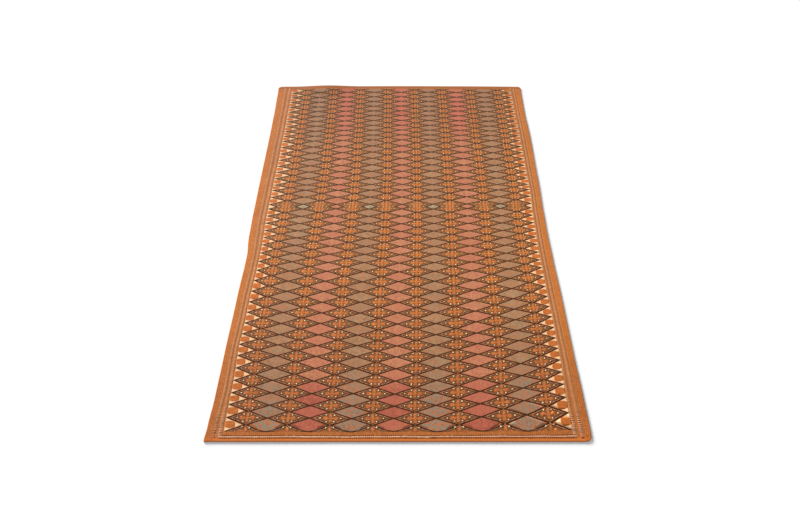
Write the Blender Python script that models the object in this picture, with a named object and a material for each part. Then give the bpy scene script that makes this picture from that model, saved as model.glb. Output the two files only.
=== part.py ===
"""Kilim rug: one flat-woven wool sheet lying on the floor.

Metres, +Z up. The rug rests on z = 0 with its length along Y, centred on the origin.
Its sides drift in and out by a few millimetres, as hand-woven sides do, three of its
corners are rounded, and a low ripple lifts the far end off the floor near its left corner.
"""

from math import cos, pi
from typing import NamedTuple

import bmesh
import bpy
from mathutils import Vector

# Driving dimensions
LENGTH = 2.395
THICKNESS = 0.004
RIM_RADIUS = 0.0012
RIM_SEGMENTS = 2
CORNER_SEGMENTS = 5
ROWS_ALONG = 24
COLUMNS_ACROSS = 6


class SideStation(NamedTuple):
    """How far each side lies from the middle line, at a distance from the near end."""

    from_near: float
    left: float
    right: float


# Both sides run nearly straight; the left one steps out just past the middle
SIDES = (
    SideStation(from_near=0.000, left=0.6588, right=0.652),
    SideStation(from_near=0.060, left=0.6550, right=0.653),
    SideStation(from_near=0.200, left=0.6505, right=0.652),
    SideStation(from_near=0.400, left=0.6490, right=0.649),
    SideStation(from_near=0.700, left=0.6455, right=0.648),
    SideStation(from_near=0.960, left=0.6405, right=0.644),
    SideStation(from_near=1.100, left=0.6490, right=0.643),
    SideStation(from_near=1.240, left=0.6510, right=0.645),
    SideStation(from_near=1.540, left=0.6510, right=0.651),
    SideStation(from_near=1.890, left=0.6500, right=0.656),
    SideStation(from_near=2.100, left=0.6510, right=0.653),
    SideStation(from_near=2.290, left=0.6540, right=0.656),
    SideStation(from_near=2.395, left=0.6570, right=0.6595),
)


class Corner(NamedTuple):
    """A corner of the rug, as signs of X and Y, and the radius it is worn to."""

    side: int
    end: int
    radius: float


CORNERS = (
    Corner(side=-1, end=-1, radius=0.003),
    Corner(side=1, end=-1, radius=0.022),
    Corner(side=-1, end=1, radius=0.020),
    Corner(side=1, end=1, radius=0.020),
)

# The far end bows out in the middle, and falls back towards both corners
FAR_END_FALL = 0.007

# The ripple that lifts the far end
RIPPLE_CENTRE = -0.390
RIPPLE_HALF_WIDTH = 0.180
RIPPLE_LIFT = 0.006
RIPPLE_REACH = 0.150
RIPPLE_CUTS_ACROSS = 11
RIPPLE_CUTS_ALONG = 4

# Finish of the plain model
WOOL_COLOUR = (0.46, 0.19, 0.085, 1.0)
WOOL_ROUGHNESS = 0.9


def clear_scene():
    """Remove whatever the opened file holds."""
    for item in list(bpy.data.objects):
        bpy.data.objects.remove(item, do_unlink=True)


def side_distance(from_near, name):
    """Half width on the side called left or right, eased between its stations."""
    for near, far in zip(SIDES, SIDES[1:]):
        if from_near <= far.from_near:
            share = (from_near - near.from_near) / (far.from_near - near.from_near)
            eased = 0.5 - 0.5 * cos(pi * share)
            start = getattr(near, name)
            return start + (getattr(far, name) - start) * eased
    return getattr(SIDES[-1], name)


def plan_position(across, along):
    """Place on the floor of a point given as -1..1 across and 0..1 along the rug."""
    from_near = along * LENGTH
    name = "right" if across > 0 else "left"
    x = across * side_distance(from_near, name)
    fall = FAR_END_FALL * across * across * along * along
    return x, from_near - LENGTH / 2 - fall


def ripple_height(x, y):
    """Height of the ripple above the floor, which fades out into the rug."""
    offset = abs(x - RIPPLE_CENTRE) / RIPPLE_HALF_WIDTH
    depth = (LENGTH / 2 - y) / RIPPLE_REACH
    if offset >= 1 or depth >= 1:
        return 0.0
    crest = 0.5 + 0.5 * cos(pi * offset)
    fade = 0.5 + 0.5 * cos(pi * max(depth, 0.0))
    return RIPPLE_LIFT * crest * fade


def cut_across(bm, x, beyond):
    """Cut the faces that lie beyond a given Y along the line of one X."""
    faces = [face for face in bm.faces if face.calc_center_median().y > beyond]
    edges = {edge for face in faces for edge in face.edges}
    verts = {vert for face in faces for vert in face.verts}
    geometry = [*faces, *edges, *verts]
    bmesh.ops.bisect_plane(bm, geom=geometry, plane_co=Vector((x, 0, 0)), plane_no=Vector((1, 0, 0)))


def cut_along(bm, y):
    """Cut the whole sheet along the line of one Y."""
    geometry = [*bm.faces, *bm.edges, *bm.verts]
    bmesh.ops.bisect_plane(bm, geom=geometry, plane_co=Vector((0, y, 0)), plane_no=Vector((0, 1, 0)))


def flat_outline(bm):
    """Lay the sheet's underside out flat, with finer faces where the ripple will rise."""
    bmesh.ops.create_grid(bm, x_segments=COLUMNS_ACROSS, y_segments=ROWS_ALONG, size=1.0)
    for vert in bm.verts:
        vert.co.x, vert.co.y = plan_position(vert.co.x, 0.5 + 0.5 * vert.co.y)
    ripple_start = LENGTH / 2 - RIPPLE_REACH
    for step in range(RIPPLE_CUTS_ALONG):
        cut_along(bm, ripple_start + RIPPLE_REACH * step / RIPPLE_CUTS_ALONG)
    spacing = 2 * RIPPLE_HALF_WIDTH / (RIPPLE_CUTS_ACROSS - 1)
    for step in range(RIPPLE_CUTS_ACROSS):
        cut_across(bm, RIPPLE_CENTRE - RIPPLE_HALF_WIDTH + step * spacing, ripple_start)


def thicken(bm):
    """Give the flat sheet its thickness, upwards."""
    raised = bmesh.ops.extrude_face_region(bm, geom=list(bm.faces))["geom"]
    top = [item for item in raised if isinstance(item, bmesh.types.BMVert)]
    bmesh.ops.translate(bm, verts=top, vec=Vector((0, 0, THICKNESS)))
    bmesh.ops.recalc_face_normals(bm, faces=bm.faces)


def upright_edge(bm, corner):
    """Find the upright edge that stands at one corner of the sheet."""
    x, y = plan_position(corner.side, 0.5 + 0.5 * corner.end)
    target = Vector((x, y, THICKNESS / 2))
    upright = [edge for edge in bm.edges if abs(edge.verts[0].co.z - edge.verts[1].co.z) > THICKNESS / 2]
    return min(upright, key=lambda edge: ((edge.verts[0].co + edge.verts[1].co) / 2 - target).length)


def round_corners(bm):
    """Round each corner of the sheet to its own radius."""
    for corner in CORNERS:
        bmesh.ops.bevel(
            bm,
            geom=[upright_edge(bm, corner)],
            offset=corner.radius,
            offset_type="OFFSET",
            segments=CORNER_SEGMENTS,
            profile=0.5,
            affect="EDGES",
            material=-1,
        )


def round_rim(bm):
    """Round the rim, above and below, where the weft turns back round the outer warps."""
    rim = []
    for edge in bm.edges:
        steepness = sorted(abs(face.normal.z) for face in edge.link_faces)
        if steepness[0] < 0.1 and steepness[1] > 0.9:
            rim.append(edge)
    bmesh.ops.bevel(
        bm,
        geom=rim,
        offset=RIM_RADIUS,
        offset_type="OFFSET",
        segments=RIM_SEGMENTS,
        profile=0.5,
        affect="EDGES",
        material=-1,
    )


def lift_ripple(bm):
    """Raise the far end into its ripple, underside and face together."""
    for vert in bm.verts:
        vert.co.z += ripple_height(vert.co.x, vert.co.y)


def wool_material():
    """Plain wool in the rug's overall colour."""
    material = bpy.data.materials.new("wool_flatweave")
    material.use_nodes = True
    shader = material.node_tree.nodes["Principled BSDF"]
    shader.inputs["Base Color"].default_value = WOOL_COLOUR
    shader.inputs["Roughness"].default_value = WOOL_ROUGHNESS
    shader.inputs["Metallic"].default_value = 0.0
    return material


def make_rug():
    """Build the rug as one closed solid."""
    bm = bmesh.new()
    flat_outline(bm)
    thicken(bm)
    round_corners(bm)
    round_rim(bm)
    lift_ripple(bm)
    bmesh.ops.recalc_face_normals(bm, faces=bm.faces)
    mesh = bpy.data.meshes.new("kilim_rug")
    bm.to_mesh(mesh)
    bm.free()
    mesh.shade_smooth()
    mesh.set_sharp_from_angle(angle=pi / 5)
    mesh.materials.append(wool_material())
    rug = bpy.data.objects.new("kilim_rug", mesh)
    bpy.context.scene.collection.objects.link(rug)


clear_scene()
make_rug()
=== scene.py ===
"""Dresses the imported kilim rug: a flat-woven wool cloth with raised brocade, on a pale floor.

Everything is first drawn on an even design, in metres, where every diamond has the same size:
X runs across the rug from its middle line and Y runs from the first row of diamonds to the far
end. WeavePlan then lays each point of the design where the weaver's hand put it on the floor.
"""

import logging
import math
import random
from dataclasses import dataclass, field
from enum import Enum
from typing import Callable, Iterable, Optional

import bmesh
import bpy
import numpy as np
from mathutils import Euler, Matrix, Vector

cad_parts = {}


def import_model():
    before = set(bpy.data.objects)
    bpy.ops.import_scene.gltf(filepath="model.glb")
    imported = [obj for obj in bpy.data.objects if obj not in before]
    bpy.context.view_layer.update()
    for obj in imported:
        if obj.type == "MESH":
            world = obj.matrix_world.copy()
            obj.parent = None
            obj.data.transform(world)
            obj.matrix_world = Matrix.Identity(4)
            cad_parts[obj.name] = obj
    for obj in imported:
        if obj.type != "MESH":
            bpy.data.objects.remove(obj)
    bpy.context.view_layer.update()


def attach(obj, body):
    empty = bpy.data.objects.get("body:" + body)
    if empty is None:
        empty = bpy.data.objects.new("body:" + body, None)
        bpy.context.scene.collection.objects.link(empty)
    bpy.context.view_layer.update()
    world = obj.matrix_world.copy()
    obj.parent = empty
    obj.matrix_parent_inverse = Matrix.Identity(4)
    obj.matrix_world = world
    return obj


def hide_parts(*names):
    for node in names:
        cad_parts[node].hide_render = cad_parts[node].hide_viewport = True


LOG = logging.getLogger("kilim")

Pair = tuple[float, float]
Dye = tuple[int, int, int]
Socket = bpy.types.NodeSocket
Outputs = bpy.types.NodeOutputs
Tree = bpy.types.NodeTree
Mesh = bpy.types.Mesh
Piece = bpy.types.Object

MM = 0.001

# Even design
COLUMN = 74 * MM
ROW = 57 * MM
ROWS = 44
LATTICE_COLUMNS = 8
BORDER = 57 * MM
NEAR_BAND = 39 * MM
FAR_BAND = 16 * MM
LATTICE_END = 43.75 * ROW
HALF_WIDTH = LATTICE_COLUMNS * COLUMN + BORDER
NEAR_Y = -NEAR_BAND
FAR_Y = ROWS * ROW + FAR_BAND

# Real size, as in the part's source
LENGTH = 2.395
FAR_END_FALL = 7 * MM


@dataclass(frozen=True)
class SideStation:
    """How far each side lies from the middle line, at a distance from the near end."""

    from_near: float
    left: float
    right: float


# Distance from the near end, left side, right side
SIDES = (
    SideStation(0.000, 0.6588, 0.652),
    SideStation(0.060, 0.6550, 0.653),
    SideStation(0.200, 0.6505, 0.652),
    SideStation(0.400, 0.6490, 0.649),
    SideStation(0.700, 0.6455, 0.648),
    SideStation(0.960, 0.6405, 0.644),
    SideStation(1.100, 0.6490, 0.643),
    SideStation(1.240, 0.6510, 0.645),
    SideStation(1.540, 0.6510, 0.651),
    SideStation(1.890, 0.6500, 0.656),
    SideStation(2.100, 0.6510, 0.653),
    SideStation(2.290, 0.6540, 0.656),
    SideStation(2.395, 0.6570, 0.6595),
)


@dataclass(frozen=True)
class Corner:
    """A corner of the rug, as signs of X and Y, and the radius it is worn to."""

    side: int
    end: int
    radius: float


# Side, end, radius
CORNERS = (
    Corner(-1, -1, 3 * MM),
    Corner(1, -1, 22 * MM),
    Corner(-1, 1, 20 * MM),
    Corner(1, 1, 20 * MM),
)


@dataclass(frozen=True)
class Ripple:
    """The low ripple that lifts the far end off the floor."""

    centre: float = -390 * MM
    half_width: float = 180 * MM
    lift: float = 6 * MM
    reach: float = 150 * MM

    def height(self, x: np.ndarray, y: np.ndarray) -> np.ndarray:
        """Work out how high the ripple stands.

        Args:
            x: Places across the floor.
            y: Places along the floor.

        Returns:
            Heights above the floor, nought away from the ripple.
        """
        offset = np.clip(np.abs(x - self.centre) / self.half_width, 0, 1)
        depth = np.clip((LENGTH / 2 - y) / self.reach, 0, 1)
        crest = 0.5 + 0.5 * np.cos(np.pi * offset)
        return self.lift * crest * (0.5 + 0.5 * np.cos(np.pi * depth))


@dataclass(frozen=True)
class RowBand:
    """A run of diamond rows that were beaten to one height."""

    rows: int
    height: float


# Number of rows, height of each
ROW_BANDS = (
    RowBand(3, 55.8 * MM),
    RowBand(3, 59.8 * MM),
    RowBand(2, 54.8 * MM),
    RowBand(6, 60.9 * MM),
    RowBand(1, 56.0 * MM),
    RowBand(3, 53.1 * MM),
    RowBand(1, 51.0 * MM),
    RowBand(3, 53.3 * MM),
    RowBand(1, 35.3 * MM),
    RowBand(2, 54.1 * MM),
    RowBand(1, 42.5 * MM),
    RowBand(3, 52.4 * MM),
    RowBand(4, 54.4 * MM),
    RowBand(3, 45.4 * MM),
    RowBand(4, 47.6 * MM),
    RowBand(4, 48.7 * MM),
)
FIRST_ROW_Y = -1157.0 * MM


@dataclass(frozen=True)
class ColumnStation:
    """Where the lattice's edges, outer columns and middle column stand, at a place along the rug.

    The bend is how far the columns just right of the middle stray to the right.
    """

    y: float
    left_edge: float
    left: float
    middle: float
    right: float
    right_edge: float
    bend: float


# Place, left edge, left column, middle, right column, right edge, bend
COLUMN_STATIONS = (
    ColumnStation(-1.0625, -593 * MM, -524 * MM, -16 * MM, 519 * MM, 587 * MM, -4.5 * MM),
    ColumnStation(-0.9300, -593 * MM, -526 * MM, -11 * MM, 521 * MM, 589 * MM, -4.5 * MM),
    ColumnStation(-0.7725, -597 * MM, -528 * MM, -6 * MM, 528 * MM, 593 * MM, -5 * MM),
    ColumnStation(-0.3975, -588 * MM, -525 * MM, 1 * MM, 529.5 * MM, 589 * MM, -7.5 * MM),
    ColumnStation(-0.2000, -582 * MM, -521 * MM, 8 * MM, 524.5 * MM, 588 * MM, -8.5 * MM),
    ColumnStation(0.0025, -586 * MM, -512 * MM, 14 * MM, 525.5 * MM, 591 * MM, -9.5 * MM),
    ColumnStation(0.2000, -584 * MM, -507 * MM, 17 * MM, 531 * MM, 599 * MM, -11 * MM),
    ColumnStation(0.4025, -580 * MM, -500 * MM, 18 * MM, 532 * MM, 600 * MM, -10 * MM),
    ColumnStation(0.8025, -577 * MM, -496 * MM, 15 * MM, 533 * MM, 600 * MM, -6 * MM),
    ColumnStation(1.0975, -577 * MM, -497 * MM, 12 * MM, 530.5 * MM, 598 * MM, -4 * MM),
)
OUTER_COLUMN = 7

# Columns between which the middle of the lattice bends
BEND_START = -0.5
BEND_COLUMNS = 5


@dataclass(frozen=True)
class RowSlant:
    """How far the rows climb on the left and right, and bow in the middle, at a place along the rug."""

    y: float
    left: float
    right: float
    bow: float


# Place, left climb, right climb, bow
ROW_SLANTS = (
    RowSlant(-1.1555, 0, 3 * MM, 0),
    RowSlant(-1.1200, 3 * MM, 13 * MM, 0),
    RowSlant(-1.0600, 4.5 * MM, 24 * MM, 0),
    RowSlant(-1.0000, 3.5 * MM, 27 * MM, 0),
    RowSlant(-0.9000, 2.5 * MM, 26 * MM, 0),
    RowSlant(-0.7800, 4.5 * MM, 25.5 * MM, 0),
    RowSlant(-0.7000, 5 * MM, 26 * MM, 0),
    RowSlant(-0.5400, 2 * MM, 20.5 * MM, 0),
    RowSlant(-0.4600, 3 * MM, 20 * MM, 0),
    RowSlant(-0.3600, 5 * MM, 18 * MM, 0),
    RowSlant(-0.2600, 7 * MM, 10.5 * MM, 0),
    RowSlant(-0.1600, 7.5 * MM, 8.5 * MM, 0),
    RowSlant(-0.0600, 3 * MM, 5 * MM, 0),
    RowSlant(0.0600, 0, 5 * MM, 0),
    RowSlant(0.1600, -1 * MM, 4 * MM, 0),
    RowSlant(0.2600, -2 * MM, 2 * MM, 1 * MM),
    RowSlant(0.3600, -3 * MM, 1 * MM, 4 * MM),
    RowSlant(0.5000, -5.5 * MM, 1 * MM, 8 * MM),
    RowSlant(0.7000, -4.5 * MM, 0, 8 * MM),
    RowSlant(0.9500, -4 * MM, -1 * MM, 6.5 * MM),
    RowSlant(1.1725, -3.5 * MM, -1 * MM, 5 * MM),
)
SLANT_REACH = 443 * MM
BOW_REACH = 450 * MM

# The short row, whose plain diamonds are narrow
SHORT_ROW = 22

# Signs of X and Y of the four quarters of a diamond
QUARTERS = ((-1, -1), (-1, 1), (1, -1), (1, 1))


def read_stations(stations: Iterable[object], y: np.ndarray, names: Iterable[str]) -> list[np.ndarray]:
    """Read the named columns of a table of stations, at places along the floor."""
    places = [station.y for station in stations]
    return [np.interp(y, places, [getattr(station, name) for station in stations]) for name in names]


@dataclass
class WeavePlan:
    """Lays the even design on the floor, with the drifts and slants of the hand-woven rug."""

    ripple: Ripple = Ripple()
    base_lift: float = 1.5 * MM
    base_sag: float = 5.0 * MM
    base_reach: float = OUTER_COLUMN + 0.1
    base_fade: float = 0.2
    slant_power: float = 1.75
    wobble: float = 1.0 * MM
    cockle: float = 0.35 * MM

    def __post_init__(self) -> None:
        """Work out where the lines between the rows lie."""
        lines = [FIRST_ROW_Y]
        for band in ROW_BANDS:
            lines += [lines[-1] + band.height * (n + 1) for n in range(band.rows)]
        self.lines = np.array(lines)

    @staticmethod
    def side(y: np.ndarray, name: str) -> np.ndarray:
        """Find how far one side of the rug lies from the middle line.

        Args:
            y: Places along the floor.
            name: Either left or right.

        Returns:
            Distances from the middle line, eased between the stations.
        """
        places = np.array([station.from_near for station in SIDES])
        widths = np.array([getattr(station, name) for station in SIDES])
        step = np.interp(y + LENGTH / 2, places, np.arange(len(places)))
        first = np.minimum(step.astype(int), len(places) - 2)
        eased = 0.5 - 0.5 * np.cos(np.pi * (step - first))
        return widths[first] + (widths[first + 1] - widths[first]) * eased

    def across(self, x: np.ndarray, y: np.ndarray) -> np.ndarray:
        """Lay places across the design.

        Args:
            x: Places across the even design.
            y: Places along the floor.

        Returns:
            Places across the floor.
        """
        names = ("left_edge", "left", "middle", "right", "right_edge", "bend")
        left_edge, left, middle, right, right_edge, bend = read_stations(COLUMN_STATIONS, y, names)
        column = np.clip(x / COLUMN, -OUTER_COLUMN, OUTER_COLUMN)
        spacing = (right - left) / (2 * OUTER_COLUMN)
        sag = ((right + left) / 2 - middle) / OUTER_COLUMN**2
        inner = middle + spacing * column + sag * column * column
        inner = inner + bend * np.sin(np.pi * np.clip((column - BEND_START) / BEND_COLUMNS, 0, 1))
        share = np.clip(np.abs(x) / COLUMN - OUTER_COLUMN, 0, 1)
        lattice = inner + (np.where(x < 0, left_edge, right_edge) - inner) * share
        rim = np.where(x < 0, -self.side(y, "left"), self.side(y, "right"))
        share = np.clip((np.abs(x) - LATTICE_COLUMNS * COLUMN) / BORDER, 0, 1)
        return lattice + (rim - lattice) * share

    def along(self, x: np.ndarray, y: np.ndarray) -> np.ndarray:
        """Lay places along the design.

        Args:
            x: Places across the even design.
            y: Places along the even design.

        Returns:
            Places along the floor.
        """
        inside = np.clip(y, 0, ROWS * ROW)
        half = np.clip(2 * inside / ROW, 0, 1)
        inner = np.clip((self.base_reach - np.abs(x) / COLUMN) / self.base_fade, 0, 1)
        lifted = inside + self.base_lift * (1 - half) ** 2 - self.base_sag * np.sin(np.pi * half) * inner
        line = np.interp(lifted / ROW, np.arange(len(self.lines)), self.lines)
        placed = self.across(x, line)
        left, right, bow = read_stations(ROW_SLANTS, line, ("left", "right", "bow"))
        climb = np.where(placed < 0, left, right)
        line = line + climb * (np.abs(placed) / SLANT_REACH) ** self.slant_power
        line = line + bow * np.clip(1 - (placed / BOW_REACH) ** 2, 0, 1)
        near = np.clip(-y / NEAR_BAND, 0, 1)
        far = np.clip((y - ROWS * ROW) / FAR_BAND, 0, 1)
        far_end = LENGTH / 2 - FAR_END_FALL * (placed / self.side(line, "right")) ** 2
        return line * (1 - near - far) - LENGTH / 2 * near + far_end * far

    @staticmethod
    def round_corners(x: np.ndarray, y: np.ndarray) -> None:
        """Draw the four corners in to their radii, in place.

        Args:
            x: Places across the floor.
            y: Places along the floor.
        """
        for corner in CORNERS:
            station = SIDES[0] if corner.end < 0 else SIDES[-1]
            reach = station.left if corner.side < 0 else station.right
            end = LENGTH / 2 if corner.end < 0 else LENGTH / 2 - FAR_END_FALL
            out = corner.side * x - (reach - corner.radius)
            up = corner.end * y - (end - corner.radius)
            inside = (out > 0) & (up > 0)
            share = np.maximum(out, up) / np.maximum(np.hypot(out, up), 1e-9) - 1
            x += np.where(inside, corner.side * out * share, 0)
            y += np.where(inside, corner.end * up * share, 0)

    def lay(self, points: np.ndarray) -> np.ndarray:
        """Lay points of the even design on the floor.

        Args:
            points: One row of X, Y and Z for each point, Z being the height in the cloth.

        Returns:
            The same points on the floor.
        """
        flat_x, flat_y, height = points.T
        y = self.along(flat_x, flat_y)
        x = self.across(flat_x, y)
        inner_x = np.clip((HALF_WIDTH - np.abs(flat_x)) / BORDER, 0, 1)
        inner_y = np.clip(np.minimum(flat_y - NEAR_Y, FAR_Y - flat_y) / NEAR_BAND, 0, 1)
        sway = self.wobble * inner_x * inner_y
        # Two uneven waves each way, whose lengths share no whole number
        x = x + sway * (0.7 * np.sin(23 * y + 4 * np.sin(7 * x)) + 0.5 * np.sin(71 * y + 9 * x))
        y = y + sway * (0.8 * np.sin(19 * x + 3 * np.sin(9 * y)) + 0.4 * np.sin(53 * x + 31 * y))
        self.round_corners(x, y)
        return np.column_stack((x, y, height + self.lift(x, y)))

    def lift(self, x: np.ndarray, y: np.ndarray) -> np.ndarray:
        """Find how far the cloth stands off the floor, by its ripple and its faint unevenness."""
        waves = np.sin(11 * x + 2.3 * np.sin(5 * y)) * np.sin(8.5 * y + 1.7 * np.sin(6 * x))
        return self.ripple.height(x, y) + self.cockle * (0.5 + 0.5 * waves)


def held(value: float) -> float:
    """Hold a number between 0 and 1."""
    return min(max(value, 0), 1)


def linear(red: int, green: int, blue: int) -> tuple[float, float, float, float]:
    """Turn a colour as seen on a screen into the light it stands for.

    Args:
        red: Red from 0 to 255.
        green: Green from 0 to 255.
        blue: Blue from 0 to 255.

    Returns:
        Red, green, blue and alpha for a shader.
    """
    shares = (value / 255 for value in (red, green, blue))
    light = [s / 12.92 if s < 0.04045 else ((s + 0.055) / 1.055) ** 2.4 for s in shares]
    return (*light, 1.0)


class Wiring:
    """Adds nodes to a node tree and joins their sockets."""

    def __init__(self, tree: Tree) -> None:
        """Keep the tree that the nodes go into."""
        self.tree = tree

    def node(self, kind: str, **settings: object) -> bpy.types.Node:
        """Add a node.

        Args:
            kind: Blender's name of the node's type.
            **settings: Properties to set on the node.

        Returns:
            The new node.
        """
        node = self.tree.nodes.new(kind)
        for name, value in settings.items():
            setattr(node, name, value)
        return node

    def feed(self, target: Socket, source: object) -> None:
        """Join a socket to an input, or set the input to a value.

        Args:
            target: The input.
            source: An output socket, or a value.
        """
        if isinstance(source, bpy.types.NodeSocket):
            self.tree.links.new(source, target)
        else:
            target.default_value = source

    def math(self, operation: str, *values: object, clamp: bool = False) -> Socket:
        """Add a sum on numbers.

        Args:
            operation: Blender's name of the operation.
            *values: Sockets or numbers that it works on.
            clamp: Whether the result is held between 0 and 1.

        Returns:
            The result's socket.
        """
        node = self.node("ShaderNodeMath", operation=operation, use_clamp=clamp)
        for target, value in zip(node.inputs, values):
            self.feed(target, value)
        return node.outputs[0]

    def mix(self, factor: object, first: object, second: object, blend: str = "MIX") -> Socket:
        """Mix two colours.

        Args:
            factor: How much of the second colour.
            first: The first colour.
            second: The second colour.
            blend: Blender's name of the way to mix.

        Returns:
            The mixed colour's socket.
        """
        node = self.node("ShaderNodeMix", data_type="RGBA", blend_type=blend, clamp_factor=True)
        self.feed(node.inputs[0], factor)
        self.feed(node.inputs[6], first)
        self.feed(node.inputs[7], second)
        return node.outputs[2]

    def ramp(self, value: object, low: object, high: object, *results: float) -> Socket:
        """Carry a number smoothly from one range to another.

        Args:
            value: The number.
            low: Where it starts to rise.
            high: Where it stops.
            *results: The results at low and at high, 0 and 1 unless they are given.

        Returns:
            The result's socket.
        """
        node = self.node("ShaderNodeMapRange", interpolation_type="SMOOTHSTEP")
        names = ("Value", "From Min", "From Max", "To Min", "To Max")
        for name, given in zip(names, (value, low, high, *results)):
            self.feed(node.inputs[name], given)
        return node.outputs[0]

    def curve(self, value: object, points: tuple[Pair, ...]) -> Socket:
        """Look a number up on a smooth curve.

        Args:
            value: The number.
            points: Pairs of a number and its result, in rising order.

        Returns:
            The result's socket.
        """
        low, high = points[0][0], points[-1][0]
        node = self.node("ShaderNodeFloatCurve")
        curve = node.mapping.curves[0]
        node.mapping.use_clip = False
        for point, (number, result) in zip(curve.points, (points[0], points[-1])):
            point.location = ((number - low) / (high - low), result / 2)
        for number, result in points[1:-1]:
            curve.points.new((number - low) / (high - low), result / 2)
        node.mapping.update()
        share = self.math("DIVIDE", self.math("SUBTRACT", value, low), high - low)
        self.feed(node.inputs["Value"], share)
        return self.math("MULTIPLY", node.outputs[0], 2.0)

    def add(self, first: object, second: object) -> Socket:
        """Add two numbers."""
        return self.math("ADD", first, second)

    def minus(self, first: object, second: object) -> Socket:
        """Take the second number from the first."""
        return self.math("SUBTRACT", first, second)

    def times(self, first: object, second: object) -> Socket:
        """Multiply two numbers."""
        return self.math("MULTIPLY", first, second)

    def scaled(self, colour: object, factor: object) -> Socket:
        """Make a colour lighter or darker.

        Args:
            colour: The colour.
            factor: What its light is multiplied by.

        Returns:
            The new colour's socket.
        """
        node = self.node("ShaderNodeVectorMath", operation="SCALE")
        self.feed(node.inputs[0], colour)
        self.feed(node.inputs["Scale"], factor)
        return node.outputs[0]

    def split(self, vector: object) -> tuple[Socket, Socket]:
        """Take a place apart.

        Args:
            vector: The place.

        Returns:
            The sockets of its X and its Y.
        """
        node = self.node("ShaderNodeSeparateXYZ")
        self.feed(node.inputs[0], vector)
        return node.outputs["X"], node.outputs["Y"]

    def cell(self, value: object) -> tuple[Socket, Socket]:
        """Part a number into its whole part and what is left."""
        whole = self.math("FLOOR", value)
        return whole, self.minus(value, whole)

    def chance(self, cell: object) -> Outputs:
        """Pick a random number and a random colour for a cell.

        Args:
            cell: Its place in whole numbers, as a socket or as two sockets.

        Returns:
            The sockets of the number and the colour.
        """
        if isinstance(cell, tuple):
            place = self.node("ShaderNodeCombineXYZ")
            for target, part in zip(place.inputs, cell):
                self.feed(target, part)
            cell = place.outputs[0]
        node = self.node("ShaderNodeTexWhiteNoise", noise_dimensions="2D")
        self.feed(node.inputs["Vector"], cell)
        return node.outputs

    def noise(self, vector: object, scale: float, detail: float) -> Socket:
        """Add a cloudy pattern.

        Args:
            vector: Where to read it.
            scale: How fine it is, per metre.
            detail: How many finer layers it has.

        Returns:
            Its value's socket, from 0 to 1.
        """
        node = self.node("ShaderNodeTexNoise")
        for name, given in (("Vector", vector), ("Scale", scale), ("Detail", detail)):
            self.feed(node.inputs[name], given)
        return node.outputs["Fac"]

    def cloud(self, vector: object, scale: float, detail: float, spread: object) -> Socket:
        """Add a cloudy pattern that swings evenly about nought, by half its spread each way."""
        return self.times(self.minus(self.noise(vector, scale, detail), 0.5), spread)


class GroupKind(Enum):
    """The shader groups that the wool finishes share."""

    STITCHES = "wool_stitches"
    FLECKS = "twill_flecks"
    AGE = "yarn_tone_along_rug"


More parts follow.
